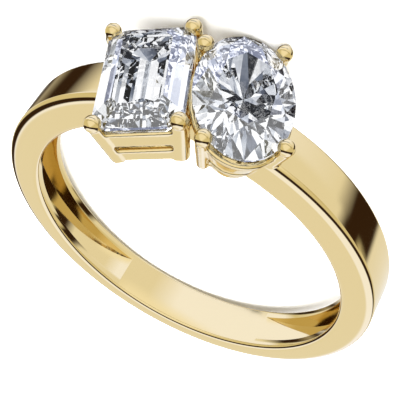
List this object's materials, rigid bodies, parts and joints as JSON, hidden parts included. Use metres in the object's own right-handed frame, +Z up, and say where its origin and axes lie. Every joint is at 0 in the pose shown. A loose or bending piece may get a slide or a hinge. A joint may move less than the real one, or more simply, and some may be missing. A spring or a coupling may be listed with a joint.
{
  "type": "toi et moi ring",
  "caption": "Gold toi et moi ring with an emerald-cut and an oval-cut clear stone side by side in beaded-prong gallery settings, lying on its side as it rests.",
  "frame": {"origin": "centre of the finger hole", "axes": "+Z up, close to the finger hole's axis, as the ring rests on its side; the stones point to -Y; +X to the oval-cut stone's left as seen from the stones' side"},
  "size_m": [0.0204, 0.0223, 0.0076],
  "materials": {
    "gold": "polished",
    "clear_stone": "polished"
  },
  "bodies": {
    "root": {"gold_mounting": "gold", "emerald_cut_stone": "clear_stone", "oval_cut_stone": "clear_stone"}
  },
  "joints": []
}
